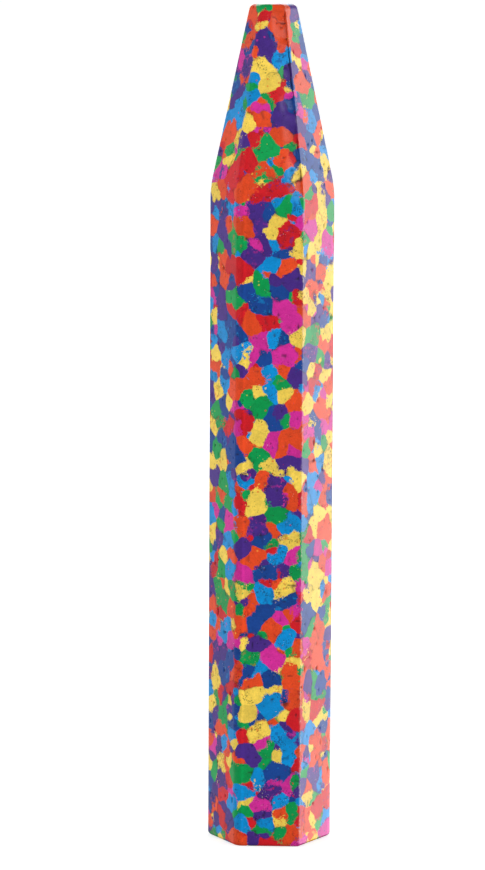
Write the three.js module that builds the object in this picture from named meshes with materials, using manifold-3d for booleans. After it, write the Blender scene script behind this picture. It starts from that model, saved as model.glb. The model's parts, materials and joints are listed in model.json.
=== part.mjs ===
// A jumbo crayon without a sleeve: a six-sided bar of wax that stands on its base and is
// drawn in to a flat six-sided tip. It is pressed in a two-part mould from granules of wax
// in eight colours, which run right through the bar, so there is no core.
//
// The bar stands along +Z with the middle of its base at the origin. One flat side faces -Y,
// and the corners of the section lie on the X axis and at every sixth of a turn from it.
// All lengths are in millimetres.
import * as THREE from 'three';
import { mergeVertices } from 'three/addons/utils/BufferGeometryUtils.js';
import Module from 'manifold-3d';

const wasm = await Module();
wasm.setup();

// The bar
const overallLength = 127;
const acrossFlats = 16.6;
const taperLength = 27.4;
const tipAcrossFlats = 6.2;
const shoulderRadius = 20;
const baseEdgeRadius = 0.55;
const tipEdgeRadius = 0.9;

// The long edges: four are rounded, and two are sharp, where the halves of the mould meet
const roundedEdgeRadius = 1.5;
const roundedEdgeRadiusAtTip = 0.7;
const partingEdgeRadius = 0.3;
const partingCorners = [2, 5];

// The lumps of pressed granules: how far from the axis their middles lie, as shares of the
// bar's half width, and how unevenly they climb and turn about it
const lumpsPerColour = 7;
const pressedGap = 0.04;
const nearestShare = 0.42;
const furthestShare = 0.72;
const climbShiftShare = 0.9;
const climbShiftRate = 5;
const turnShiftRatio = 0.3;
const turnShiftRate = 3;
const colourStride = 3;

const waxRoughness = 0.5;
const waxColours = [
  { name: 'red', colour: 0xc8202a },
  { name: 'green', colour: 0x009a4e },
  { name: 'yellow', colour: 0xedd250 },
  { name: 'navy', colour: 0x1c4595 },
  { name: 'orange', colour: 0xe04e24 },
  { name: 'sky_blue', colour: 0x008fd5 },
  { name: 'magenta', colour: 0xcb2b92 },
  { name: 'purple', colour: 0x4b2c88 },
];

const goldenRatio = (1 + Math.sqrt(5)) / 2;
const goldenAngle = Math.PI * (3 - Math.sqrt(5));

const cornerCount = 6;
const cornerTurn = (2 * Math.PI) / cornerCount;
const roundedEdgeSteps = 4;
const roundSteps = 3;
const shoulderSteps = 4;

const halfFlats = acrossFlats / 2;
const halfTipFlats = tipAcrossFlats / 2;
const shoulderHeight = overallLength - taperLength;
const taperAngle = Math.atan((halfFlats - halfTipFlats) / taperLength);

// The side of the bar as rings from the base to the tip: each has its height and its
// distance from the axis to a flat side.
function barRings() {
  const rings = [];
  for (let step = 0; step <= roundSteps; step++) {
    const angle = (step / roundSteps) * (Math.PI / 2);
    rings.push({
      height: baseEdgeRadius * (1 - Math.cos(angle)),
      halfFlats: halfFlats - baseEdgeRadius * (1 - Math.sin(angle)),
    });
  }
  // The shoulder is an arc that touches both the body and the taper.
  const shoulderStart = shoulderHeight - shoulderRadius * Math.tan(taperAngle / 2);
  for (let step = 0; step <= shoulderSteps; step++) {
    const angle = (step / shoulderSteps) * taperAngle;
    rings.push({
      height: shoulderStart + shoulderRadius * Math.sin(angle),
      halfFlats: halfFlats - shoulderRadius * (1 - Math.cos(angle)),
    });
  }
  // The round edge of the tip is an arc that touches both the taper and the flat end.
  const inset = (tipEdgeRadius * (1 - Math.sin(taperAngle))) / Math.cos(taperAngle);
  for (let step = 0; step <= roundSteps; step++) {
    const angle = taperAngle + (step / roundSteps) * (Math.PI / 2 - taperAngle);
    rings.push({
      height: overallLength - tipEdgeRadius * (1 - Math.sin(angle)),
      halfFlats: halfTipFlats - inset + tipEdgeRadius * Math.cos(angle),
    });
  }
  return rings;
}

// The radius of a rounded long edge, which tightens steadily along the taper.
function longEdgeRadius(height) {
  const alongTaper = THREE.MathUtils.clamp((height - shoulderHeight) / taperLength, 0, 1);
  return THREE.MathUtils.lerp(roundedEdgeRadius, roundedEdgeRadiusAtTip, alongTaper);
}

// The points of one ring: a hexagon with an arc at each corner.
function ringPoints(ring) {
  const points = [];
  for (let corner = 0; corner < cornerCount; corner++) {
    const sharp = partingCorners.includes(corner);
    const radius = sharp ? partingEdgeRadius : longEdgeRadius(ring.height);
    const middle = corner * cornerTurn;
    const centre = (ring.halfFlats - radius) / Math.cos(cornerTurn / 2);
    for (let step = 0; step <= roundedEdgeSteps; step++) {
      const angle = middle + (step / roundedEdgeSteps - 0.5) * cornerTurn;
      points.push(new THREE.Vector3(
        centre * Math.cos(middle) + radius * Math.cos(angle),
        centre * Math.sin(middle) + radius * Math.sin(angle),
        ring.height,
      ));
    }
  }
  return points;
}

// A closed solid through rings of equally many points, with a fan over each end.
function loft(rings) {
  const around = rings[0].length;
  const positions = rings.flat().flatMap((point) => point.toArray());
  const bottomCentre = positions.length / 3;
  positions.push(0, 0, rings[0][0].z);
  const topCentre = positions.length / 3;
  positions.push(0, 0, rings.at(-1)[0].z);
  const lastRing = (rings.length - 1) * around;
  const faces = [];
  for (let place = 0; place < around; place++) {
    const next = (place + 1) % around;
    for (let start = 0; start < lastRing; start += around) {
      faces.push(start + place, start + next, start + around + next);
      faces.push(start + place, start + around + next, start + around + place);
    }
    faces.push(bottomCentre, next, place);
    faces.push(topCentre, lastRing + place, lastRing + next);
  }
  const geometry = new THREE.BufferGeometry();
  geometry.setAttribute('position', new THREE.Float32BufferAttribute(positions, 3));
  geometry.setIndex(faces);
  return geometry;
}

function toSolid(geometry) {
  const bare = geometry.clone();
  bare.deleteAttribute('normal');
  bare.deleteAttribute('uv');
  const merged = mergeVertices(bare);
  return new wasm.Manifold(new wasm.Mesh({
    numProp: 3,
    vertProperties: new Float32Array(merged.attributes.position.array),
    triVerts: new Uint32Array(merged.index.array),
  }));
}

function toGeometry(solid) {
  const mesh = solid.getMesh();
  const geometry = new THREE.BufferGeometry();
  geometry.setAttribute('position', new THREE.BufferAttribute(mesh.vertProperties, 3));
  geometry.setIndex(new THREE.BufferAttribute(mesh.triVerts, 1));
  return geometry;
}

// The height below which the given share of the bar's wax lies. The section's area is even
// along the body and falls with the square of its width along the taper.
function heightOfShare(share) {
  const tipScale = tipAcrossFlats / acrossFlats;
  const narrowing = 1 - tipScale;
  const taperVolume = (taperLength * (1 - tipScale ** 3)) / (3 * narrowing);
  const volume = share * (shoulderHeight + taperVolume);
  if (volume <= shoulderHeight) return volume;
  const scale = Math.cbrt(1 - (3 * narrowing * (volume - shoulderHeight)) / taperLength);
  return shoulderHeight + (taperLength * (1 - scale)) / narrowing;
}

function halfFlatsAt(height) {
  const alongTaper = Math.max(0, (height - shoulderHeight) / taperLength);
  return THREE.MathUtils.lerp(halfFlats, halfTipFlats, alongTaper);
}

// A value from -1 to 1 that looks random from lump to lump and is the same on every run.
function scattered(index, rate) {
  return Math.sin(index * goldenRatio * rate);
}

// The middles of the lumps climb the bar on a spiral that turns by the golden angle, so that
// they spread evenly all round it. Each is shifted a little, since granules fall at random.
// The first and the last lie on the axis, just inside the base and the tip.
function lumpMiddles() {
  const count = waxColours.length * lumpsPerColour;
  return Array.from({ length: count }, (_, index) => {
    const onAxis = index === 0 || index === count - 1;
    const climbShift = onAxis ? 0 : climbShiftShare * scattered(index, climbShiftRate);
    const height = heightOfShare((index + 0.5 + climbShift) / count);
    const turn = index * goldenAngle + turnShiftRatio * scattered(index, turnShiftRate);
    const spread = (index * goldenRatio) % 1;
    const share = onAxis ? 0 : THREE.MathUtils.lerp(nearestShare, furthestShare, spread);
    const fromAxis = share * halfFlatsAt(height);
    return new THREE.Vector3(fromAxis * Math.cos(turn), fromAxis * Math.sin(turn), height);
  });
}

// A block that fills the side of a plane that the lump lies on. The plane stands square to
// the line between two lumps, half a gap short of its middle.
function keptSide(middle, neighbour) {
  const size = 3 * overallLength;
  const away = neighbour.clone().sub(middle);
  const depth = away.length() / 2 - pressedGap / 2;
  const block = new THREE.BoxGeometry(size, size, size);
  block.translate(0, 0, depth - size / 2);
  block.applyQuaternion(new THREE.Quaternion().setFromUnitVectors(
    new THREE.Vector3(0, 0, 1),
    away.normalize(),
  ));
  block.translate(middle.x, middle.y, middle.z);
  return toSolid(block);
}

// The furthest that any of a solid's points can lie from the given point.
function reachFrom(middle, solid) {
  const box = solid.boundingBox();
  return new THREE.Vector3(
    Math.max(box.max[0] - middle.x, middle.x - box.min[0]),
    Math.max(box.max[1] - middle.y, middle.y - box.min[1]),
    Math.max(box.max[2] - middle.z, middle.z - box.min[2]),
  ).length();
}

// A lump is the part of the bar that lies nearer to its middle than to any other lump's.
function pressedLump(bar, middle, middles) {
  const neighbours = middles
    .filter((other) => other !== middle)
    .sort((one, two) => one.distanceTo(middle) - two.distanceTo(middle));
  let lump = bar;
  for (const neighbour of neighbours) {
    if (neighbour.distanceTo(middle) / 2 > reachFrom(middle, lump)) break;
    lump = lump.intersect(keptSide(middle, neighbour));
  }
  return toGeometry(lump);
}

// Each round of lumps uses every colour once, in an order that shifts from round to round,
// so that lumps of one colour don't touch.
function colourOfLump(index) {
  const round = Math.floor(index / waxColours.length);
  return waxColours[(colourStride * (index + round)) % waxColours.length];
}

const bar = toSolid(loft(barRings().map(ringPoints)));
const middles = lumpMiddles();
const crayon = new THREE.Group();
middles.forEach((middle, index) => {
  const { name, colour } = colourOfLump(index);
  const geometry = pressedLump(bar, middle, middles);
  geometry.translate(-middle.x, -middle.y, -middle.z);
  geometry.computeVertexNormals();
  const material = new THREE.MeshStandardMaterial({
    color: colour,
    roughness: waxRoughness,
    metalness: 0,
  });
  const lump = new THREE.Mesh(geometry, material);
  lump.name = `${name}_granules_${Math.floor(index / waxColours.length) + 1}`;
  lump.position.copy(middle);
  crayon.add(lump);
});

export default crayon;
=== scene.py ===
# %% [markdown]
# # A jumbo crayon pressed from coloured wax granules
#
# The object is one thick six-sided crayon without a paper sleeve, standing on its base. It is
# made by filling a two-part mould with granules of wax in eight colours and pressing them until
# they hold together. Its whole look comes from those granules: a mosaic that runs over every
# side, the base and the tip.
#
# This script loads the measured solids of the crayon and builds each granule of its skin at its
# true size, as a small closed body. Everything is worked out in millimetres and turned into
# metres when a mesh is made.

# %% The frame
import json

import bpy
import numpy as np
from mathutils import Matrix, Vector

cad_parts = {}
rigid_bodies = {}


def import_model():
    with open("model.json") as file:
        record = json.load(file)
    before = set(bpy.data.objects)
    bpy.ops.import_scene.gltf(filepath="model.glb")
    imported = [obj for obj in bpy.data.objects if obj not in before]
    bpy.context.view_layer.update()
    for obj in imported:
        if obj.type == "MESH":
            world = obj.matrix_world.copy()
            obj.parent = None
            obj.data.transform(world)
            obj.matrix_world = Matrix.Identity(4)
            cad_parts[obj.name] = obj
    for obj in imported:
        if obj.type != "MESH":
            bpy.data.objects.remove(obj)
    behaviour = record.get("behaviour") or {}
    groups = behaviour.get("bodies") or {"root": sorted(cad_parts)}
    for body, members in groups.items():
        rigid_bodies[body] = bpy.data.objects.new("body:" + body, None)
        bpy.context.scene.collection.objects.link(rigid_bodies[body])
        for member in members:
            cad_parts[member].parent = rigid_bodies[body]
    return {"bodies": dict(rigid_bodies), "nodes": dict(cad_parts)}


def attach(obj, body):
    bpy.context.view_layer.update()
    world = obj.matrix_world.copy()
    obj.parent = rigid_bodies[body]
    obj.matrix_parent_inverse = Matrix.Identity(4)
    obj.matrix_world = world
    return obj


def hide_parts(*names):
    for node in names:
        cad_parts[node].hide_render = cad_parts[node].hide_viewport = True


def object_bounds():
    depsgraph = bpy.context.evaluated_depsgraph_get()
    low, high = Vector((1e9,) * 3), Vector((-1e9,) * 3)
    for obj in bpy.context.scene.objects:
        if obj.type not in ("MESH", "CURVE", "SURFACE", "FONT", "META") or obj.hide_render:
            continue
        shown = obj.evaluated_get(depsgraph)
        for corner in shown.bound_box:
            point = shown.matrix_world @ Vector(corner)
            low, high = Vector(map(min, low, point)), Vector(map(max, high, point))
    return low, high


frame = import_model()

# What isn't in the frame is Blender's own start: a cube, a lamp and a camera
own = set(frame["nodes"].values()) | set(frame["bodies"].values())
for leftover in set(bpy.data.objects) - own:
    bpy.data.objects.remove(leftover)
cad_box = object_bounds()
lowest, highest = (np.array(corner) * 1000 for corner in cad_box)
print("the crayon measures", np.round(highest - lowest, 2), "mm")

# %% [markdown]
# ## The form of the bar
#
# The bar is a hexagon carried up a profile. The profile starts in the middle of the base, turns
# round the small base edge, climbs the straight body, bends at the shoulder into the taper, and
# turns round the edge of the flat tip to end in its middle. We could loft this with Blender's
# own tools, but a formula gives every point of the skin a known place, and the granules need
# that.

# %% Sizes of the bar
length = highest[2]
half_flats = (highest[1] - lowest[1]) / 2
taper_length = 27.4
half_tip_flats = 3.1
shoulder_radius = 20.0
base_edge_radius = 0.55
tip_edge_radius = 0.9
rounded_edge_radius = 1.5
rounded_edge_radius_at_tip = 0.7
parting_edge_radius = 0.3
parting_corners = (2, 5)
sixth = np.pi / 3
shoulder_height = length - taper_length
taper_angle = np.arctan2(half_flats - half_tip_flats, taper_length)
tip_inset = tip_edge_radius * (1 - np.sin(taper_angle)) / np.cos(taper_angle)


# %% The profile
arc_points = 40


def arc(height, half, radius, start, end):
    """Points of an arc: the centre plus the radius times sine and cosine of an even turn."""
    turn = np.linspace(start, end, arc_points)
    return np.stack([height + radius * np.sin(turn), half + radius * np.cos(turn)], axis=1)


def profile(spacing):
    """Heights and half widths from the middle of the base to the middle of the tip, evenly
    spaced along the line: straight runs joined by arcs that touch them."""
    bend_start = shoulder_height - shoulder_radius * np.tan(taper_angle / 2)
    line = np.concatenate([
        [[0, 0]],
        arc(base_edge_radius, half_flats - base_edge_radius, base_edge_radius, -np.pi / 2, 0),
        arc(bend_start, half_flats - shoulder_radius, shoulder_radius, 0, taper_angle),
        arc(length - tip_edge_radius, half_tip_flats - tip_inset, tip_edge_radius,
            taper_angle, np.pi / 2),
        [[length, 0]],
    ])
    travelled = np.append(0, np.cumsum(np.linalg.norm(np.diff(line, axis=0), axis=1)))
    stops = np.linspace(0, travelled[-1], int(travelled[-1] / spacing) + 1)
    return np.interp(stops, travelled, line[:, 0]), np.interp(stops, travelled, line[:, 1])


# %% [markdown]
# ## The columns of the grid
#
# A grid of points covers the bar: rows follow the profile, and columns stand round the
# hexagon. Two opposite long edges are where the halves of the mould meet. The photograph shows a
# fine crack along one of them, so the columns crowd together towards those edges and spread out
# elsewhere.

# %% Columns round the hexagon
grid_spacing = 0.21
crack_spacing = 0.05
crowding_width = 0.6
places_along = 2000
rounded_edge_steps, parting_edge_steps = 8, 4


def bell(values, width):
    """A bell curve: 1 at zero, and e to the power of minus the square of value over width."""
    return np.exp(-(values / width) ** 2)


def flat_shares(corner):
    """Shares of the way along the flat after a corner. The spacing grows from fine to coarse
    with the distance from a parting edge as one minus a bell curve, and a column stands at each
    whole number of spacings."""
    flat = 2 * half_flats * np.tan(sixth / 2)
    along = np.linspace(0, flat, places_along)
    start = bell(along, crowding_width) * (corner in parting_corners)
    end = bell(flat - along, crowding_width) * ((corner + 1) % 6 in parting_corners)
    step = grid_spacing + (crack_spacing - grid_spacing) * (start + end)
    count = np.append(0, np.cumsum(1 / step[1:])) * flat / places_along
    stops = np.linspace(0, count[-1], int(count[-1]) + 1)[:-1]
    return np.interp(stops, count, along / flat)


def all_columns():
    """For each column: its corner, its angle on the corner's arc and its share of the flat."""
    corners, angles, shares = [], [], []
    for corner in range(6):
        steps = parting_edge_steps if corner in parting_corners else rounded_edge_steps
        arc_angles = np.linspace(-sixth / 2, sixth / 2, steps + 1)[:-1]
        flat = flat_shares(corner)
        corners.append(np.full(steps + len(flat), corner))
        angles.append(np.append(arc_angles, np.full(len(flat), sixth / 2)))
        shares.append(np.append(np.zeros(steps), flat))
    return np.concatenate(corners), np.concatenate(angles), np.concatenate(shares)


column_corner, column_angle, column_share = all_columns()
row_height, row_half = profile(grid_spacing)
rows, columns = len(row_height), len(column_corner)
print("the grid has", rows, "rows and", columns, "columns")


# %% Points on the bar
def rise(values, start, width):
    """0 up to the start, then a straight climb that reaches 1 a width later."""
    return np.clip((values - start) / width, 0, 1)


def edge_radius(corner, height, half):
    """The radius of a long edge: constant on the body, easing along the taper, and shrinking
    with the ring on the base and the tip."""
    along = rise(height, shoulder_height, taper_length)
    rounded = rounded_edge_radius + (rounded_edge_radius_at_tip - rounded_edge_radius) * along
    radius = np.where(np.isin(corner, parting_corners), parting_edge_radius, rounded)
    cap = np.where(height < length / 2, half_flats - base_edge_radius, half_tip_flats - tip_inset)
    return radius * np.minimum(1, half / cap)


def on_arc(corner, angle, height, half):
    """A point on a corner's arc: the arc's centre lies on the corner's own line, so far in that
    the arc touches the flats on both sides."""
    radius = edge_radius(corner, height, half)
    centre = (half - radius) / np.cos(sixth / 2)
    turn = corner * sixth
    return np.stack([
        centre * np.cos(turn) + radius * np.cos(turn + angle),
        centre * np.sin(turn) + radius * np.sin(turn + angle),
        height + 0 * radius,
    ], axis=-1)


def bar_points(height, half):
    """Every grid point: a corner's arc, or a straight blend from its end to the next arc's
    start along the flat."""
    height, half = height[:, None], half[:, None]
    here = on_arc(column_corner, column_angle, height, half)
    there = on_arc((column_corner + 1) % 6, -sixth / 2, height, half)
    share = column_share[:, None]
    return here * (1 - share) + there * share


# %% Directions on the bar
tiny = 1e-9


def unit(vectors):
    """Each vector divided by its own length."""
    return vectors / np.maximum(np.linalg.norm(vectors, axis=-1, keepdims=True), tiny)


def outward(points):
    """The outward direction at each grid point: the step round crossed with the step up."""
    around = np.roll(points, -1, axis=1) - np.roll(points, 1, axis=1)
    up = np.gradient(points, axis=0)
    found = unit(np.cross(around, up))
    found[0] = (0, 0, -1)
    found[-1] = (0, 0, 1)
    return found


grid = bar_points(row_height, row_half)
grid_outward = outward(grid)
print("the grid spans", np.round(grid.min(axis=(0, 1)), 2), "to", np.round(grid.max(axis=(0, 1)), 2))

# %% [markdown]
# ## Chance that repeats
#
# Granules fall into the mould at random, but the script has to give the same crayon on every
# run. So chance comes from arithmetic: each cell of a lattice turns its own whole numbers into a
# number from 0 to 1. Every use of chance has a channel, a whole number of its own, so that a
# granule's size says nothing about its colour. A smooth version of the same chance, blended
# between the cells' corners, makes the granules' outlines wander.

# %% Repeatable chance
cell_factors = np.array([73856093, 19349663, 83492791], dtype=np.uint32)
channel_factor = 2654435761
stirs = ((16, 2246822519), (13, 3266489917), (15, 668265263))
last_shift = 16


def chance(cells, channel):
    """A number from 0 to 1 for each lattice cell and channel: the cell's whole numbers are
    multiplied by large odd numbers, joined, and stirred by shifts and more multiplying."""
    stirred = np.bitwise_xor.reduce(cells.astype(np.int64).astype(np.uint32) * cell_factors, axis=-1)
    stirred ^= np.uint32((channel * channel_factor) % 2**32)
    for shift, factor in stirs:
        stirred = (stirred ^ (stirred >> np.uint32(shift))) * np.uint32(factor)
    return (stirred ^ (stirred >> np.uint32(last_shift))) / 2.0**32


# %% Smooth chance
def smooth_chance(points, size, channel):
    """Smooth noise from -1 to 1: the chances at the eight corners of the cell round each point,
    blended by an eased share of the way across it."""
    place = points / size
    cell = np.floor(place).astype(np.int64)
    share = place - cell
    share = share * share * (3 - 2 * share)
    total = 0
    for corner in np.ndindex(2, 2, 2):
        weight = np.prod(np.where(corner, share, 1 - share), axis=-1)
        total = total + weight * chance(cell + corner, channel)
    return 2 * total - 1


def wandering(points, size, channel):
    """Three smooth chances, one along each axis, from three channels in a row."""
    return np.stack([smooth_chance(points, size, channel + axis) for axis in range(3)], axis=-1)


print("chances of three cells:", np.round(chance(np.eye(3), 0), 3))

# %% [markdown]
# ## The granules
#
# Pressed granules meet in the same way as soap bubbles or grains of metal: each one owns the
# points that lie nearest to its middle. Giving every middle a weight makes some granules larger
# than others, a second lobe beside the first makes them knobbly, and bending space a little
# before measuring makes their outlines wander and roughen, as crumbly wax does. Here and there a
# small crumb lies between the granules. The colours aren't mixed quite evenly: warm ones gather
# on one side.

# %% Sizes of the granules
granule_size = 2.72
granule_spread = 0.84
granule_pull_most = 0.33
lobe_reach, lobe_loss = 0.8, 0.12
crumb_size = 1.1
crumb_share = 0.045
crumb_loss_least, crumb_loss_spread = 0.1, 0.45
out_of_reach = 1e6
wander_size, wander_reach = 1.25, 0.39
rough_size, rough_reach = 0.5, 0.16
warm_start, warm_width, warm_gain = 4.5, 4.0, 0.4
# From the warmest colour to the coolest
colour_shares = {"yellow": 0.145, "orange": 0.163, "red": 0.094, "magenta": 0.088,
                 "purple": 0.131, "green": 0.127, "navy": 0.127, "sky_blue": 0.125}
colours = list(colour_shares)
print(len(colours), "colours, whose shares add up to", round(sum(colour_shares.values()), 3))

# %% Facts about a granule
first_lobe_channel, second_lobe_channel = 10, 20
pull_channel, crumb_channel, tone_channel, mixed_channel = 14, 15, 17, 18
# Of the channels tried, the one that deals the colours most evenly over the sides
colour_channel = 3850
# Crumbs draw from cells this far off, so that a crumb isn't the twin of a granule
crumb_shift = 40


def three_chances(cells, channel):
    """Three chances for each cell, one along each axis, from three channels in a row."""
    return np.stack([chance(cells, channel + axis) for axis in range(3)], axis=-1)


def granule_facts(named):
    """Lobes, pulls, colour numbers, tones and mixedness of granules, each named by its family (0
    for a granule, 1 for a crumb) and its lattice cell. The first lobe's middle lies anywhere in
    the cell and the second one's beside it. Most lattice cells of crumbs hold none, which a very
    low pull stands for. A chance raised to a power above one picks warm colours more often."""
    family, cells = named[:, 0], named[:, 1:]
    drawn = cells + crumb_shift * family[:, None]
    size = np.where(family == 0, granule_size, crumb_size)[:, None]
    first = (cells + 0.5 + granule_spread * (three_chances(drawn, first_lobe_channel) - 0.5)) * size
    aside = 2 * three_chances(drawn, second_lobe_channel) - 1
    second = first + lobe_reach * aside * size / granule_size
    strength = chance(drawn, pull_channel)
    crumb_pull = np.where(chance(drawn, crumb_channel) < crumb_share,
                          -crumb_loss_least - crumb_loss_spread * strength, -out_of_reach)
    pull = np.where(family == 0, granule_pull_most * (2 * strength - 1), crumb_pull)
    warmth = 1 + warm_gain * rise(first[:, 0], warm_start, warm_width)
    limits = np.cumsum(list(colour_shares.values()))[:-1]
    colour = np.searchsorted(limits, chance(drawn, colour_channel) ** warmth)
    lobes = np.stack([first, second], axis=1)
    pulls = np.stack([pull, pull - lobe_loss], axis=1)
    return lobes, pulls, colour, chance(drawn, tone_channel), chance(drawn, mixed_channel)


# %% The nearest granules
def reach(points, lobes, pulls):
    """How far a granule has to reach for a point: the distance less the pull, from the lobe for
    which that is least."""
    return (np.linalg.norm(points[..., None, :] - lobes, axis=-1) - pulls).min(axis=-1)


def nearest_granules(points):
    """The two granules that reach each point most easily, as rows of family and cell, and how
    far each has to reach. Each family is searched in the 27 cells about the point."""
    best = np.full((2, len(points)), out_of_reach)
    owner = np.zeros((2, len(points), 4), dtype=np.int64)
    for family, size in enumerate((granule_size, crumb_size)):
        home = np.floor(points / size).astype(np.int64)
        for step in np.ndindex(3, 3, 3):
            cells = home + np.array(step) - 1
            named = np.concatenate([np.full((len(points), 1), family), cells], axis=1)
            lobes, pulls = granule_facts(named)[:2]
            found = reach(points, lobes, pulls)
            first = found < best[0]
            second = ~first & (found < best[1])
            best[1] = np.where(first, best[0], np.where(second, found, best[1]))
            owner[1] = np.where(first[:, None], owner[0], np.where(second[:, None], named, owner[1]))
            best[0] = np.where(first, found, best[0])
            owner[0] = np.where(first[:, None], named, owner[0])
    return owner, best


# %% Granules on the skin
wander_channel, rough_channel = 30, 40


def bent(points):
    """The points in bent space: moved by a slow wander and by a fine roughness."""
    return (points + wander_reach * wandering(points, wander_size, wander_channel)
            + rough_reach * wandering(points, rough_size, rough_channel))


flat_grid = grid.reshape(-1, 3)
bent_grid = bent(flat_grid)
owners, reaches = nearest_granules(bent_grid)
granules, granule_of = np.unique(owners[0], axis=0, return_inverse=True)
granule_of = granule_of.reshape(-1)
granule_lobes, granule_pulls, granule_colour, granule_tone, granule_mixed = granule_facts(granules)
print(len(granules), "granules show on the skin")
print("granules of each colour:", dict(zip(colours, np.bincount(granule_colour))))

# %% [markdown]
# ## Cutting the grid along the granules' outlines
#
# A granule's outline seldom runs along the grid. Where the two ends of a grid line belong to
# different granules, the line is cut at the point that both reach for equally. Each square then
# falls into as many pieces as it has owners: every piece starts at a corner, takes in the
# following corners of the same owner, and returns over the two cuts and the middle of the
# square. This keeps the outlines smooth and sharp on a grid of ordinary squares.

# %% Cut points
least_cut_share = 0.1
grid_count = rows * columns
# The first row is one point, the middle of the base, and the last is the middle of the tip
grid_index = np.arange(grid_count).reshape(rows, columns)
grid_index[0] = 0
grid_index[-1] = (rows - 1) * columns


def gap_between(start, end):
    """How much further the granule at the end of a line reaches short of its start than the
    granule that owns the start."""
    mine, theirs = granule_of[start], granule_of[end]
    at = bent_grid[start]
    return (reach(at, granule_lobes[theirs], granule_pulls[theirs])
            - reach(at, granule_lobes[mine], granule_pulls[mine]))


def cut_share(start, end):
    """Where a grid line is cut: the share of the way at which both granules reach equally, kept
    off the two ends."""
    here, there = gap_between(start, end), gap_between(end, start)
    share = here / np.maximum(here + there, tiny)
    return np.clip(share, least_cut_share, 1 - least_cut_share)[..., None]


def blend(values, start, end, share):
    """Values on the way from the start to the end of each line."""
    return values[start] * (1 - share) + values[end] * share


flat_outward = grid_outward.reshape(-1, 3)
next_column = np.roll(grid_index, -1, axis=1)
next_row = np.roll(grid_index, -1, axis=0)
round_share = cut_share(grid_index, next_column)
up_share = cut_share(grid_index, next_row)
round_cut = blend(flat_grid, grid_index, next_column, round_share)
up_cut = blend(flat_grid, grid_index, next_row, up_share)
round_normal = unit(blend(flat_outward, grid_index, next_column, round_share))
up_normal = unit(blend(flat_outward, grid_index, next_row, up_share))

# %% Squares, their owners and their cuts
square = np.stack([
    grid_index[:-1], next_column[:-1], next_column[1:], grid_index[1:],
], axis=-1).reshape(-1, 4)
square_owner = granule_of[square]
# Cuts are numbered after the grid's points: those on lines round the bar, then those up it
round_id = grid_count + np.arange(grid_count).reshape(rows, columns)
up_id = round_id + grid_count
square_cut = np.stack([
    round_id[:-1], np.roll(up_id, -1, axis=1)[:-1], round_id[1:], up_id[:-1],
], axis=-1).reshape(-1, 4)
is_cut = square_owner != np.roll(square_owner, -1, axis=1)
cuts_in_square = is_cut.sum(axis=1)
print((cuts_in_square > 0).sum(), "of", len(square), "squares are cut")

skin = np.concatenate([flat_grid, round_cut.reshape(-1, 3), up_cut.reshape(-1, 3)])
skin_outward = np.concatenate([flat_outward, round_normal.reshape(-1, 3), up_normal.reshape(-1, 3)])
cut_weight = is_cut[..., None] / np.maximum(cuts_in_square, 1)[:, None, None]
square_middle = (skin[square_cut] * cut_weight).sum(axis=1)
middle_outward = unit(skin_outward[square].sum(axis=1))
middle_id = np.where(cuts_in_square > 2, len(skin) + np.arange(len(square)),
                     square_cut[np.arange(len(square)), is_cut.argmax(axis=1)])
skin = np.concatenate([skin, square_middle])
skin_outward = np.concatenate([skin_outward, middle_outward])


# %% Pieces of squares
def pieces_of_squares():
    """Corner lists of every piece, six long with repeats, and the granule that owns each. A
    piece runs from a corner whose line behind is cut, over its run of equal corners, and back
    over the cut ahead, the square's middle and the cut behind."""
    whole = cuts_in_square == 0
    lists = [np.concatenate([square[whole], np.repeat(square[whole, 3:], 2, axis=1)], axis=1)]
    owned = [square_owner[whole, 0]]
    for corner in range(4):
        turned = np.roll(square, -corner, axis=1)
        cuts = np.roll(square_cut, -corner, axis=1)
        cut_here = np.roll(is_cut, -corner, axis=1)
        for run in (1, 2, 3):
            fits = cut_here[:, 3] & cut_here[:, run - 1] & ~cut_here[:, :run - 1].any(axis=1)
            part = [turned[fits, min(step, run - 1)] for step in range(3)]
            part += [cuts[fits, run - 1], middle_id[fits], cuts[fits, 3]]
            lists.append(np.stack(part, axis=1))
            owned.append(square_owner[fits, corner])
    return np.concatenate(lists), np.concatenate(owned)


piece_corners, piece_owner = pieces_of_squares()
print(len(piece_corners), "pieces of squares")

# %% [markdown]
# ## Relief, painted shade and painted highlights
#
# Moulded wax is smooth but not perfect. Each granule settles a little lower along its outline,
# the sides wave by a few hundredths of a millimetre, and small holes stay open where granules
# didn't quite meet. A fine crack runs along the edge where the halves of the mould meet. Along
# the taper the wax dips towards it, the granules in the dip stand as low domes, and crevices lie
# between some of them. All of it is cut inwards, so the crayon never grows past its measured
# size. The crack, the holes and the crevices are also darkened with painted shade.
#
# The rest only changes the colour, and is painted light: a painted highlight in patches beside
# the parting edges, and a band of painted shade on each rounded edge with a thin painted
# highlight at its side. Both kinds of mark are one number for each point of the skin, made from
# bell curves, straight climbs and chance.

# %% Places about an outline and about an edge
shoulder_lead, shoulder_climb = 2.5, 3.0
tip_margin, tip_climb = 0.8, 1.5
near_edge = 4.0
neighbour_colour = granule_facts(owners[1])[2]
outline_at_cuts = np.zeros(len(skin) - len(flat_grid))
from_outline = np.append((reaches[1] - reaches[0]) / 2, outline_at_cuts)
print("points lie up to", round(float(from_outline.max()), 2), "mm inside their outline")


def taper_share(height):
    """0 on the body and 1 along the taper, climbing at the shoulder and falling under the tip."""
    rising = rise(height, shoulder_height - shoulder_lead, shoulder_climb)
    falling = rise(height, length - tip_margin - tip_climb, tip_climb)
    return rising * (1 - falling)


def beside_edge(points, corner):
    """Where points lie about a long edge: the distance across it, the height, and whether they
    are near it."""
    turn = corner * sixth
    across = points[:, 1] * np.cos(turn) - points[:, 0] * np.sin(turn)
    facing = points[:, 0] * np.cos(turn) + points[:, 1] * np.sin(turn) > 0
    return across, points[:, 2], facing & (np.abs(across) < near_edge)


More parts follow.
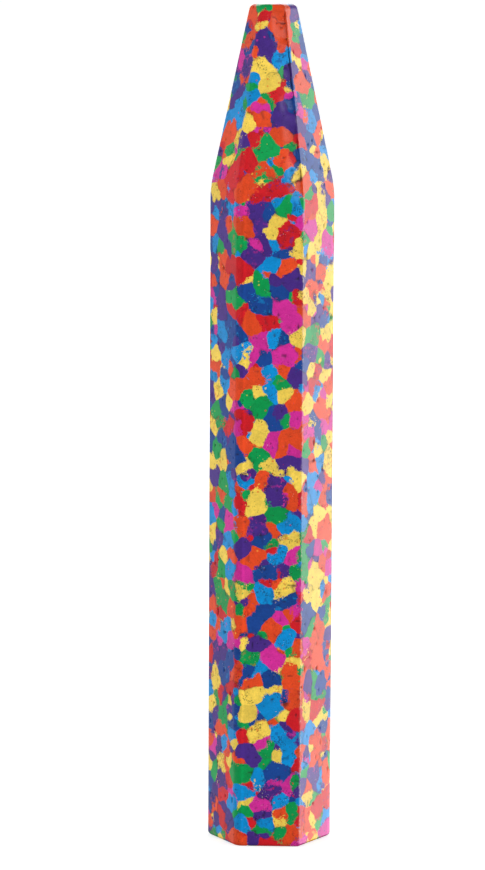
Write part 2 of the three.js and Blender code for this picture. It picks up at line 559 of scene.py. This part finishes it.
def along_bar(height, size, channel):
    """Smooth chance that changes with the height alone."""
    line = np.stack([0 * height, 0 * height, height], axis=1)
    return smooth_chance(line, size, channel)


# %% The crack
crack_depth, crack_width = 0.2, 0.055
crack_aside, crack_on_body = -0.05, 0.12
swing_reach, swing_size, swing_channel = 0.12, 2.4, 50
shake_reach, shake_size, shake_channel = 0.07, 0.6, 60
opening_level, opening_gain, opening_most = 0.65, 1.7, 1.6
opening_size, opening_channel = 1.5, 70
least_widening = 0.8


def crack_strength(points, corner):
    """A thin line beside a parting edge, a bell curve of the distance across. It wanders with
    the height, is opened and closed by chance, and is full along the taper and faint on the
    body."""
    across, height, near = beside_edge(points, corner)
    wander = (crack_aside + swing_reach * along_bar(height, swing_size, swing_channel + corner)
              + shake_reach * along_bar(height, shake_size, shake_channel + corner))
    opening = along_bar(height, opening_size, opening_channel + corner)
    opened = np.clip(opening_level + opening_gain * opening, 0, opening_most)
    depth = np.maximum(taper_share(height), crack_on_body)
    width = crack_width * np.maximum(opened, least_widening)
    return near * np.minimum(opened, 1) * depth * bell(across - wander, width)


crack = sum(crack_strength(skin, corner) for corner in parting_corners)
print("the crack runs through", (crack > 0.5).sum(), "points")

# %% The dip beside the crack
dip_depth, dip_width = 0.42, 2.2
dip_level, dip_gain, dip_least = 0.75, 0.8, 0.25
dip_size, dip_channel = 2.2, 95


def dipping(points, corner):
    """The wax dips towards the parting edge along the taper: an eased step from nothing at a
    distance to its full depth at the edge, unevenly deep along the bar."""
    across, height, near = beside_edge(points, corner)
    uneven = np.clip(dip_level + dip_gain * along_bar(height, dip_size, dip_channel), dip_least, 1)
    closeness = rise(across, -dip_width, dip_width) * (across < 0)
    return near * uneven * taper_share(height) * closeness**2 * (3 - 2 * closeness)


dip = sum(dipping(skin, corner) for corner in parting_corners)
print("the dip covers", (dip > 0).sum(), "points")

# %% Painted highlight beside the parting edges
# Where the painted highlight lies beside a parting edge, and how patchy it is
sheen_aside, sheen_width = 0.16, 0.2
sheen_start, sheen_climb, sheen_loss = 0.1, 0.3, 0.8
sheen_size, sheen_channel = 0.8, 110


def painted_parting_sheen(points, corner):
    """A painted highlight in short stretches just beside a parting edge: a bell curve across it,
    cut into patches by chance, and weaker along the taper."""
    across, height, near = beside_edge(points, corner)
    band = bell(across - sheen_aside, sheen_width)
    patchy = rise(smooth_chance(points, sheen_size, sheen_channel), sheen_start, sheen_climb)
    return near * band * patchy * (1 - sheen_loss * taper_share(height))


# The pale patches beside both parting edges are a painted highlight
parting_sheen = sum(painted_parting_sheen(skin, corner) for corner in parting_corners)
print("bruises cover", (parting_sheen > 0.5).sum(), "points")

# %% Painted shade and highlight on the rounded edges
# Where the painted highlight line lies and how pale it is, and where the band of painted shade lies
# and how deep it is
highlight_aside, highlight_width, highlight_tone = 0.84, 0.16, 0.42
shade_band_start, shade_band_climb, shade_band_tone = -0.9, 0.3, 0.22
shade_band_end, shade_band_fall = 0.54, 0.2
fade_start, fade_length = shoulder_height - 10.5, 12.5


def painted_edge_light(points, corner):
    """Painted light on a rounded edge: a band of painted shade makes it a little deeper in tone than
    the flats beside it, and a thin painted highlight ends it on the side of the nearest parting
    edge. Half of both fades out below the shoulder, and the other half ends at it."""
    across, height, near = beside_edge(points, corner)
    aside = across if (corner + 1) % 6 in parting_corners else -across
    line = bell(aside - highlight_aside, highlight_width)
    band = rise(aside, shade_band_start, shade_band_climb) * (1 - rise(aside, shade_band_end, shade_band_fall))
    kept = 0.5 * (1 - rise(height, fade_start, fade_length)) + 0.5 * (height < shoulder_height)
    return near * kept * (highlight_tone * line - shade_band_tone * band)


# Painted shade and a painted highlight on the four rounded edges
edges = sum(painted_edge_light(skin, corner) for corner in range(6) if corner not in parting_corners)
print("the tone of the edges runs from", np.round(edges.min(), 2), "to", np.round(edges.max(), 2))

# %% Grooves, waves, holes, crevices and domes
groove_depth, groove_width = 0.003, 0.12
wave_depth, wave_size, wave_channel = 0.02, 9.0, 90
hole_depth, hole_size, hole_channel = 0.14, 0.6, 80
hole_start, hole_climb = 0.71, 0.2
crevice_width, crevice_size, crevice_channel = 0.07, 1.3, 100
crevice_start, crevice_climb, crevice_gain_in_dip = 0.25, 0.3, 0.55
dome_depth, dome_width = 0.10, 0.42

groove = bell(from_outline, groove_width)
wave = 0.5 + 0.5 * smooth_chance(skin, wave_size, wave_channel)
hole = rise(smooth_chance(skin, hole_size, hole_channel), hole_start, hole_climb)
gaping = smooth_chance(skin, crevice_size, crevice_channel) + crevice_gain_in_dip * dip
crevice = rise(gaping, crevice_start, crevice_climb) * bell(from_outline, crevice_width)
# The outlines of the domes are sunk, so that their middles stand proud of them
sunk_outline = dip * bell(from_outline, dome_width)
relief = (groove_depth * groove + wave_depth * wave + hole_depth * hole + crack_depth * crack
          + dip_depth * dip + dome_depth * sunk_outline)
skin_points = skin - skin_outward * relief[:, None]
print("the relief is at most", round(float(relief.max()), 3), "mm deep")

# %% [markdown]
# ## From outlines to closed granules
#
# Each granule so far is a patch of skin. To make it a body, its outline is drawn in to one point
# under the patch, like the point of a pebble. The granules of one colour become one object, and
# it stands for the solids of that colour in the measured model. A granule keeps its own copy of
# the points on its outline, so that neighbours of one colour stay separate bodies.


# %% Edges of the granules
def outline_edges():
    """Start, end and owner of each stretch of outline: the lines from the cut ahead to the
    middle and from the middle to the cut behind, which are the last three of a piece's corners."""
    start = np.concatenate([piece_corners[:, 3], piece_corners[:, 4]])
    end = np.concatenate([piece_corners[:, 4], piece_corners[:, 5]])
    owner = np.tile(piece_owner, 2)
    is_line = (start != end) & (start >= grid_count)
    return start[is_line], end[is_line], owner[is_line]


edge_start, edge_end, edge_owner = outline_edges()
print(len(edge_start), "stretches of outline")

# %% The point of each granule
least_point_depth, point_depth_share = 0.35, 0.5
# The radius of a disc, as a share of the side of a square of nearly the same area
disc_share = 0.56


def patch_centres():
    """Each granule's mean place and outward direction, and the size of its patch, from the
    points of its pieces."""
    used = piece_corners[:, 0]
    count = np.maximum(np.bincount(piece_owner, minlength=len(granules)), 1)

    def mean(values):
        return np.stack([
            np.bincount(piece_owner, values[used, axis], minlength=len(granules)) / count
            for axis in range(3)
        ], axis=1)

    return mean(skin_points), unit(mean(skin_outward)), count


patch_place, patch_outward, patch_count = patch_centres()
patch_radius = np.sqrt(patch_count) * grid_spacing * disc_share
patch_depth = least_point_depth + point_depth_share * patch_radius
granule_point = patch_place - patch_outward * patch_depth[:, None]
print("granules are", np.round(np.percentile(patch_depth, [5, 50, 95]), 2), "mm deep")


# %% Colours of the waxes
def linear(red, green, blue):
    """A colour given as the eye sees it, from 0 to 255, as the light that a shader needs: a
    straight run near black, and a power of 2.4 above it."""
    seen = np.array([red, green, blue]) / 255
    light = np.where(seen <= 0.04045, seen / 12.92, ((seen + 0.055) / 1.055) ** 2.4)
    return (*light.tolist(), 1.0)


wax_colours = {
    "red": (201, 24, 34),
    "orange": (221, 71, 30),
    "yellow": (238, 204, 82),
    "green": (0, 150, 75),
    "sky_blue": (0, 137, 206),
    "navy": (20, 65, 140),
    "purple": (68, 39, 127),
    "magenta": (204, 42, 146),
}
colour_table = np.array([linear(*wax_colours[colour]) for colour in colours])

# %% Facts that the wax reads at each point
# Painted shade: the crack, the holes and the crevices are darkened in the colour
crack_shade, hole_shade = 1.3, 0.8
crevice_shade, crevice_shade_in_dip = 0.5, 0.6
hollow_shading = crack_shade * crack + hole_shade * hole + (crevice_shade + crevice_shade_in_dip * dip) * crevice
point_places = np.concatenate([skin_points, granule_point]) / 1000
none_inside = np.zeros(len(granules))
skin_facts = {"hollow_shade": np.clip(hollow_shading, 0, 1), "parting_sheen": parting_sheen, "inset": from_outline, "edges": edges}
point_facts = {name: np.append(values, none_inside) for name, values in skin_facts.items()}
print(len(point_places), "points in all")

# %% Faces of the chosen granules
no_guide = -1


def chosen_faces(chosen):
    """Corner ids, their granules, their guides and the sides of each face, for the chosen
    granules: pieces of skin first, then a triangle from each stretch of outline to the
    granule's point. A corner's guide is the grid point that tells it its neighbour's colour."""
    skin_part = chosen[piece_owner]
    corners = piece_corners[skin_part]
    owner = np.repeat(piece_owner[skin_part, None], 6, axis=1)
    guide = np.where(corners < grid_count, corners, corners[:, :1])
    kept = corners != np.roll(corners, -1, axis=1)
    under_part = chosen[edge_owner]
    point = len(skin_points) + edge_owner[under_part]
    under = np.stack([edge_end[under_part], edge_start[under_part], point], axis=1)
    under_owner = np.repeat(edge_owner[under_part, None], 3, axis=1)
    return (np.append(corners[kept], under), np.append(owner[kept], under_owner),
            np.append(guide[kept], np.full(under.size, no_guide)),
            np.append(kept.sum(axis=1), np.full(len(under), 3)))


# %% Making the meshes
sharp_angle = np.radians(75)


def build_piece(name, chosen):
    """A mesh of the chosen granules, with the facts that the wax needs stored at its points. A
    corner's key is its granule's number times the count of places, plus its place, so that each
    granule has its own copy of a point."""
    corners, owner, guide, sides = chosen_faces(chosen)
    keys, vertex = np.unique(owner * len(point_places) + corners, return_inverse=True)
    source = keys % len(point_places)
    holder = keys // len(point_places)
    guided = guide != no_guide
    vertex_guide = np.zeros(len(keys), dtype=np.int64)
    vertex_guide[vertex[guided]] = guide[guided]

    mesh = bpy.data.meshes.new(name)
    mesh.vertices.add(len(keys))
    mesh.vertices.foreach_set("co", point_places[source].ravel())
    mesh.loops.add(len(vertex))
    mesh.loops.foreach_set("vertex_index", vertex)
    mesh.polygons.add(len(sides))
    mesh.polygons.foreach_set("loop_start", np.append(0, np.cumsum(sides)[:-1]))
    mesh.update(calc_edges=True)
    mesh.validate()
    mesh.shade_smooth()
    mesh.set_sharp_from_angle(angle=sharp_angle)
    facts = {"tone": granule_tone[holder], "mixed": granule_mixed[holder]}
    facts.update({stored: values[source] for stored, values in point_facts.items()})
    for stored, values in facts.items():
        mesh.attributes.new(stored, "FLOAT", "POINT").data.foreach_set("value", values)
    beside = mesh.attributes.new("beside", "FLOAT_COLOR", "POINT")
    beside.data.foreach_set("color", colour_table[neighbour_colour[vertex_guide]].ravel())
    piece = bpy.data.objects.new(name, mesh)
    bpy.context.collection.objects.link(piece)
    return piece


pieces = {}
for number, colour in enumerate(colours):
    piece = build_piece(f"{colour}_granules", granule_colour == number)
    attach(piece, "root")
    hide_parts(*[node for node in frame["nodes"] if node.startswith(f"{colour}_granules_")])
    pieces[colour] = piece
    print(piece.name, len(piece.data.vertices), "points", len(piece.data.polygons), "faces")

# %% [markdown]
# ## Shader sums as Python sums
#
# A shader is a chain of small sums. The class below wraps one output of a node, so that a sum
# written in Python adds the Math nodes that do it. Colours go through Mix nodes, because a Math
# node would turn them grey.


# %% A socket that can be used in sums
class Wire:
    """One output of a shader node. Arithmetic on it adds Math nodes, and its method node adds
    any other kind."""

    def __init__(self, tree, socket):
        self.tree = tree
        self.socket = socket

    def node(self, kind, settings=None, inputs=None, output=0):
        """A new node in the same tree, as one of its outputs."""
        return add_node(self.tree, kind, settings, inputs, output)

    def math(self, operation, other, swapped=False):
        """A Math node on this value and another, or on the other and this one."""
        first, second = (other, self) if swapped else (self, other)
        return self.node("ShaderNodeMath", {"operation": operation}, {0: first, 1: second})

    def __add__(self, other):
        return self.math("ADD", other)

    def __sub__(self, other):
        return self.math("SUBTRACT", other)

    def __rsub__(self, other):
        return self.math("SUBTRACT", other, swapped=True)

    def __mul__(self, other):
        return self.math("MULTIPLY", other)

    __radd__ = __add__
    __rmul__ = __mul__

    def ramp(self, low, high):
        """Eases from 0 at the low value to 1 at the high one."""
        return self.node("ShaderNodeMapRange", {"interpolation_type": "SMOOTHSTEP"},
                         {"Value": self, "From Min": low, "From Max": high})


def add_node(tree, kind, settings=None, inputs=None, output=0):
    """Adds a node of a type, sets its settings, then gives its inputs values or links, and
    returns one of its outputs as a Wire."""
    made = tree.nodes.new(kind)
    for name, value in (settings or {}).items():
        setattr(made, name, value)
    for name, value in (inputs or {}).items():
        if isinstance(value, Wire):
            tree.links.new(value.socket, made.inputs[name])
        else:
            made.inputs[name].default_value = value
    return Wire(tree, made.outputs[output])


def mix(factor, first, second):
    """A blend of two colours: the first at a factor of 0 and the second at 1."""
    return factor.node("ShaderNodeMix", {"data_type": "RGBA"}, {0: factor, 6: first, 7: second}, 2)


# %% [markdown]
# ## The wax
#
# All eight waxes are one recipe with different pigment, and the recipe works from the bottom up.
# The colour of a granule is even, with a slight tone of its own and faint clouds, and on the
# rounded edges its tone carries a band of painted shade and a thin painted highlight. Some
# granules are marbled with another wax. Near its outline, a granule is rubbed and frayed, so that
# the wax beside it shows there in its own colour. Over it lie crumbs of other colours, small pale
# and dark flecks that gather in crowds, a painted highlight in patches beside the parting edges,
# and painted shade in the cracks, holes and crevices. A noise texture through a steep ramp makes
# most of these, because a noise has no grid or seam.
#
# The textures all read the same place in the crayon, so some are moved by a distance of their
# own. Otherwise marks of about one size would lie on top of each other.

# %% What the waxes share
wax_roughness = 0.33
wax_index = 1.45
wax_shine = 0.2
bump_strength, bump_height = 0.3, 0.00004
light_gain, deep_gain = 1.18, 0.77
# The colour of the painted shade in the crack, holes and crevices, also mixed into the dark flecks
shade_and_fleck_colour = linear(30, 20, 32)
# The colour of the pale flecks, and of the painted highlight beside the parting edges
pale_colour = linear(205, 190, 175)
# For each wax: how rare its dark and its pale flecks are, the colours of its crumbs, and the
# share of places that hold a crumb
wax_marks = {
    "red": (0.68, 0.76, ("purple", "orange"), 0.04),
    "orange": (0.69, 0.78, ("red", "yellow"), 0.05),
    "yellow": (0.645, 0.80, ("orange", "red"), 0.11),
    "green": (0.66, 0.76, ("red", "yellow"), 0.09),
    "sky_blue": (0.63, 0.78, ("navy", "red"), 0.08),
    "navy": (0.70, 0.74, ("sky_blue", "purple"), 0.04),
    "purple": (0.69, 0.76, ("magenta", "red"), 0.04),
    "magenta": (0.665, 0.73, ("purple", "red"), 0.06),
}


# %% Noise, places and stored facts
def noise(place, size, detail=2.0, output="Fac"):
    """Smooth noise with cells of the given size in millimetres."""
    return place.node("ShaderNodeTexNoise", None,
                      {"Vector": place, "Scale": 1000 / size, "Detail": detail}, output)


def moved(place, distance):
    """The place moved by the same distance in millimetres along every axis."""
    return place.node("ShaderNodeVectorMath", {"operation": "ADD"},
                      {0: place, 1: (distance / 1000,) * 3})


def fact(place, name, output="Fac"):
    """A value stored at the mesh's points."""
    return place.node("ShaderNodeAttribute", {"attribute_name": name}, None, output)


# %% The granule's own colour
tone_share, cloud_share, grain_share = 0.4, 0.3, 0.3
marble_cover = 0.55


def pigment(name):
    """The light and the deep version of a wax's colour: its light times a gain, up to 1."""
    base = np.array(linear(*wax_colours[name]))[:3]
    return (*np.minimum(base * light_gain, 1), 1), (*(base * deep_gain), 1)


def fleck_colour(name):
    """A dark fleck: a fifth of the wax's colour and three tenths of the colour of the painted shade.
    """
    return (*(0.2 * np.array(linear(*wax_colours[name]))[:3] + 0.3 * np.array(shade_and_fleck_colour[:3])), 1)


def toned(name, place, clouds, fine):
    """The colour between deep and light, by the sum of the granule's tone, clouds, a fine grain
    and the painted shade and highlight of the rounded edges."""
    light, deep = pigment(name)
    shade = tone_share * fact(place, "tone") + cloud_share * clouds.ramp(0.35, 0.65)
    # The edges fact adds a band of painted shade and a thin painted highlight on the rounded edges
    shade = shade + grain_share * fine.ramp(0.35, 0.65) + fact(place, "edges")
    return mix(shade, deep, light)


def marbled(colour, place, mixed, other, fleck):
    """Streaks of another wax in the granules that are mixed most, in patches along them."""
    streaks = noise(moved(place, 7.0), 0.55, 3.5).ramp(0.5, 0.6)
    patches = noise(moved(place, 19.0), 1.8, 1.0).ramp(0.44, 0.56)
    streak_colour = mix(noise(place, 0.9).ramp(0.45, 0.6), other, fleck)
    return mix(streaks * patches * mixed.ramp(0.67, 0.84) * marble_cover, colour, streak_colour)


# %% The granule's outline
rubbed_cover, frayed_cover = 0.85, 0.9


def worn(colour, place):
    """The neighbour's colour where noise beats the distance from the outline: rubbed over in
    blotches, which are most common in some zones, and finely frayed everywhere."""
    inset = fact(place, "inset")
    beside = fact(place, "beside", "Color")
    zone = noise(place, 5.5, 1.0).ramp(0.52, 0.66)
    rubbed = (noise(place, 0.5, 2.5) - 0.35 * inset + 0.1 * zone).ramp(0.65, 0.68)
    frayed = (0.55 * noise(moved(place, 3.0), 0.2, 2.0) - 0.29 - inset).ramp(-0.01, 0.01)
    return mix(frayed * frayed_cover, mix(rubbed * rubbed_cover, colour, beside), beside)


# %% Crumbs
crumb_cell, largest_crumb, crumb_cover = 0.55, 0.4, 0.62
crumb_raggedness = 0.0002


def spots(place, size, share, largest):
    """A mask of scattered spots, and each spot's own chance. Space is divided into cells of the
    given size in millimetres, and a share of them holds a spot of up to the largest share of
    the cell."""
    cells = {"Vector": place, "Scale": 1000 / size}
    distance = place.node("ShaderNodeTexVoronoi", None, cells, "Distance")
    colour = place.node("ShaderNodeTexVoronoi", None, cells, "Color")
    first = colour.node("ShaderNodeSeparateColor", None, {"Color": colour}, "Red")
    second = Wire(place.tree, first.socket.node.outputs["Green"])
    third = Wire(place.tree, first.socket.node.outputs["Blue"])
    inside = (largest * (0.45 + 0.55 * second) - distance).ramp(0.0, 0.09)
    return inside * (share - first).ramp(0.0, 0.02), third


def crumbed(colour, place, held, one, two):
    """Ragged crumbs of two other waxes: spots in space that a fine noise has shaken."""
    ragged = place.node("ShaderNodeVectorMath", {"operation": "MULTIPLY_ADD"},
                        {0: noise(place, 0.16, 2.0, "Color"), 1: (crumb_raggedness,) * 3, 2: place})
    crumbs, which = spots(ragged, crumb_cell, held, largest_crumb)
    return mix(crumbs * crumb_cover, colour, mix(which.ramp(0.55, 0.6), one, two))


# %% Flecks
dark_size, dark_ease, dark_cover = 0.26, 0.05, 0.75
pale_size, pale_ease, pale_cover = 0.24, 0.04, 0.5
sheen_cover, hollow_shade_cover = 0.5, 0.92


def flecks(place, size, crowd, rarity, ease):
    """A mask of small flecks: fine noise and the crowd together, where they pass the rarity."""
    return (noise(place, size, 2.5) + crowd).ramp(rarity, rarity + ease)


# %% The recipe
def make_wax(name):
    """One wax: tone with the painted shade and highlight of the rounded edges, clouds and marbling,
    worn outlines, crumbs, flecks, a painted highlight beside the parting edges and painted shade
    in the crack, holes and crevices, then roughness and bump."""
    material = bpy.data.materials.new(f"{name}_wax")
    material.use_nodes = True
    tree = material.node_tree
    shader = tree.nodes["Principled BSDF"]
    place = add_node(tree, "ShaderNodeTexCoord", None, None, "Object")
    mixed, hollow_shade, parting_sheen = fact(place, "mixed"), fact(place, "hollow_shade"), fact(place, "parting_sheen")
    dark_rarity, pale_rarity, crumb_names, crumbs_held = wax_marks[name]
    one, two = (linear(*wax_colours[crumb]) for crumb in crumb_names)
    fleck = fleck_colour(name)
    fine = noise(place, 0.22, 3.0)
    clouds = noise(place, 1.1, 3.0)

    colour = toned(name, place, clouds, fine)
    colour = marbled(colour, place, mixed, one, fleck)
    colour = worn(colour, place)
    colour = crumbed(colour, place, crumbs_held, one, two)
    crowd = 0.16 * noise(place, 1.3, 2.0).ramp(0.45, 0.68) + 0.07 * mixed - 0.1
    dark = flecks(moved(place, 13.0), dark_size, crowd, dark_rarity, dark_ease)
    pale = flecks(moved(place, 29.0), pale_size, crowd, pale_rarity, pale_ease)
    # A painted highlight in patches beside the parting edges
    sheen_patches = parting_sheen * noise(place, 0.3, 2.0).ramp(0.4, 0.6)
    colour = mix(pale * pale_cover, colour, pale_colour)
    colour = mix(sheen_patches * sheen_cover, colour, pale_colour)
    colour = mix(dark * dark_cover, colour, fleck)
    # Painted shade in the crack, the holes and the crevices
    colour = mix(hollow_shade * hollow_shade_cover, colour, shade_and_fleck_colour)
    tree.links.new(colour.socket, shader.inputs["Base Color"])

    roughness = wax_roughness + 0.1 * (fine - 0.5) + 0.25 * hollow_shade + 0.1 * dark
    tree.links.new(roughness.socket, shader.inputs["Roughness"])
    bump = place.node("ShaderNodeBump", None, {"Strength": bump_strength, "Distance": bump_height,
                                               "Height": 0.6 * fine + clouds - 1.2 * dark})
    tree.links.new(bump.socket, shader.inputs["Normal"])
    shader.inputs["IOR"].default_value = wax_index
    shader.inputs["Specular IOR Level"].default_value = wax_shine
    return material


for colour, piece in pieces.items():
    piece.data.materials.append(make_wax(colour))
print("made", len(pieces), "waxes")

# %% [markdown]
# ## The camera
#
# The photograph was taken from the front with a long lens, a little above the tip, so the base
# is seen from above and the tip almost level. The camera's place and angles come from fitting
# the bar's outline to the photograph's.

# %% Camera
camera_distance, camera_height, camera_aside = 0.600, 0.14118, -0.000804
photo_height = 870
focal_pixels = 3989.1
# Blender gives the sensor's width to the longer side of the picture, which is its height
sensor_size = 36
furthest_seen = 20
object_turn, heading, tilt, roll = np.radians([-1.641, 0.337, 7.527, -0.27])


def camera_matrix():
    """The camera's place and axes: a heading in the plane, tilted down, then rolled about the
    view. The bar stays square to the axes, so the camera takes the turn that the bar has in the
    photograph."""
    turn = heading - object_turn
    right = Vector((np.cos(turn), np.sin(turn), 0))
    level = Vector((-np.sin(turn), np.cos(turn), 0))
    up = level * np.sin(tilt) + Vector((0, 0, np.cos(tilt)))
    forward = level * np.cos(tilt) - Vector((0, 0, np.sin(tilt)))
    across = right * np.cos(roll) - up * np.sin(roll)
    upward = right * np.sin(roll) + up * np.cos(roll)
    place = Matrix.Rotation(-object_turn, 3, "Z") @ Vector((camera_aside, -camera_distance, 0))
    place.z = camera_height
    axes = Matrix((across, upward, -forward)).transposed().to_4x4()
    return Matrix.Translation(place) @ axes


scene = bpy.context.scene
camera = bpy.data.objects.new("camera", bpy.data.cameras.new("camera"))
scene.collection.objects.link(camera)
camera.matrix_world = camera_matrix()
camera.data.sensor_width = sensor_size
camera.data.lens = sensor_size * focal_pixels / photo_height
camera.data.clip_end = furthest_seen
scene.camera = camera
scene.view_settings.view_transform = "Standard"
print("the lens is", round(camera.data.lens), "mm long")

# %% [markdown]
# ## Floor and light
#
# The crayon stands on a plain sheet, which only the camera sees as white: its own colour is a
# grey that keeps the shadow, and a glow that only camera rays meet is added to it. Three large
# soft lamps light the crayon, one square to each side face that shows and one from behind.
#
# The photograph has a pale veil over the side faces, stronger on the right, which is a
# reflection. A lit card stands behind the bar on each side, where the sides mirror it, and
# another lies on the floor for the foot of the bar. A last one, in front and to the right, gives
# the dip beside the crack its light patches. The cards are switched off for diffuse light, so
# they change the shine and not the colours. The two front lamps are switched off for shine,
# because they would burn out the tip when it is seen from behind.

# %% Floor
floor_reach, floor_height = 12.0, -0.00005
paper_grey, paper_roughness = 0.55, 0.9
near_glow, added_glow = 0.70, 0.16
glow_start, glow_end = 0.05, 0.6
floor_corners = [(x * floor_reach, y * floor_reach, floor_height)
                 for x, y in ((-1, -1), (1, -1), (1, 1), (-1, 1))]
floor_mesh = bpy.data.meshes.new("floor")
floor_mesh.from_pydata(floor_corners, [], [(0, 1, 2, 3)])
floor = bpy.data.objects.new("floor", floor_mesh)
scene.collection.objects.link(floor)

paper = bpy.data.materials.new("paper")
paper.use_nodes = True
paper_tree = paper.node_tree
paper_shader = paper_tree.nodes["Principled BSDF"]
paper_shader.inputs["Base Color"].default_value = (paper_grey, paper_grey, paper_grey, 1)
paper_shader.inputs["Roughness"].default_value = paper_roughness
paper_shader.inputs["Specular IOR Level"].default_value = 0.0
paper_shader.inputs["Emission Strength"].default_value = 1.0
floor_place = add_node(paper_tree, "ShaderNodeTexCoord", None, None, "Object")
away = floor_place.node("ShaderNodeVectorMath", {"operation": "LENGTH"}, {0: floor_place}, "Value")
seen = floor_place.node("ShaderNodeLightPath", None, None, "Is Camera Ray")
glow = seen * (near_glow + added_glow * away.ramp(glow_start, glow_end))
paper_tree.links.new(glow.socket, paper_shader.inputs["Emission Color"])
floor_mesh.materials.append(paper)

# %% World
world_level = 0.3
world = bpy.data.worlds.new("world")
scene.world = world
world.use_nodes = True
background = world.node_tree.nodes["Background"]
looked_at = add_node(world.node_tree, "ShaderNodeLightPath", None, None, "Is Camera Ray")
brightness = world_level + (1 - world_level) * looked_at
world.node_tree.links.new(brightness.socket, background.inputs["Color"])

# %% Lamps
lamp_size, lamp_aim = (1.0, 0.8), (0, 0, 0.06)
front_place, back_place = (0.84, -0.50, 0.30), (0, 0.98, 0.30)
left_power, right_power, back_power = 8.2, 8.9, 8.0


def on_side(side, place):
    """A place on the right, or its mirror image on the left: the first number times 1 or -1."""
    return (side * place[0], place[1], place[2])


def add_lamp(name, place, size, power, aim=None):
    """A rectangular soft lamp that faces a point, or else the bar's middle at its own height."""
    data = bpy.data.lights.new(name, "AREA")
    data.shape = "RECTANGLE"
    data.size, data.size_y = size
    data.energy = power
    lamp = bpy.data.objects.new(name, data)
    scene.collection.objects.link(lamp)
    lamp.location = place
    lamp.visible_camera = False
    target = Vector(aim or (0, 0, place[2]))
    lamp.rotation_euler = (target - lamp.location).to_track_quat("-Z", "Y").to_euler()
    return lamp


for name, side, power in (("left_lamp", -1, left_power), ("right_lamp", 1, right_power)):
    front_lamp = add_lamp(name, on_side(side, front_place), lamp_size, power, lamp_aim)
    front_lamp.visible_glossy = False
add_lamp("back_lamp", back_place, lamp_size, back_power, lamp_aim)
print("lamps of", left_power, right_power, "and", back_power, "W")

# %% Cards that only shine
card_place, card_size = (0.102, 0.055, 0.083), (0.05, 0.165)
low_card_place, low_card_size = (0.052, 0.022, 0.0004), (0.0515, 0.10)
dip_card_place, dip_card_size = (0.233, -0.576, 0.305), (0.13, 0.2)
dip_card_aim, dip_card_power = (0, 0, 0.115), 1.3
# For each side, from left to right: the powers of its card and its low card
card_powers = {-1: (0.019, 0.012), 1: (0.172, 0.086)}


def add_card(name, place, size, power, aim=None):
    """A lamp that shows in reflections alone."""
    card = add_lamp(name, place, size, power, aim)
    card.visible_diffuse = False
    return card


for side, (card_power, low_power) in card_powers.items():
    add_card("card", on_side(side, card_place), card_size, card_power)
    low_card = add_card("low_card", on_side(side, low_card_place), low_card_size, low_power)
    # Turned to lie face up, with its long side along the foot of the side face
    low_card.rotation_euler = (np.pi, 0, -side * sixth / 2)
add_card("dip_card", dip_card_place, dip_card_size, dip_card_power, dip_card_aim)
print("the scene has", len(bpy.data.lights), "lamps and cards")
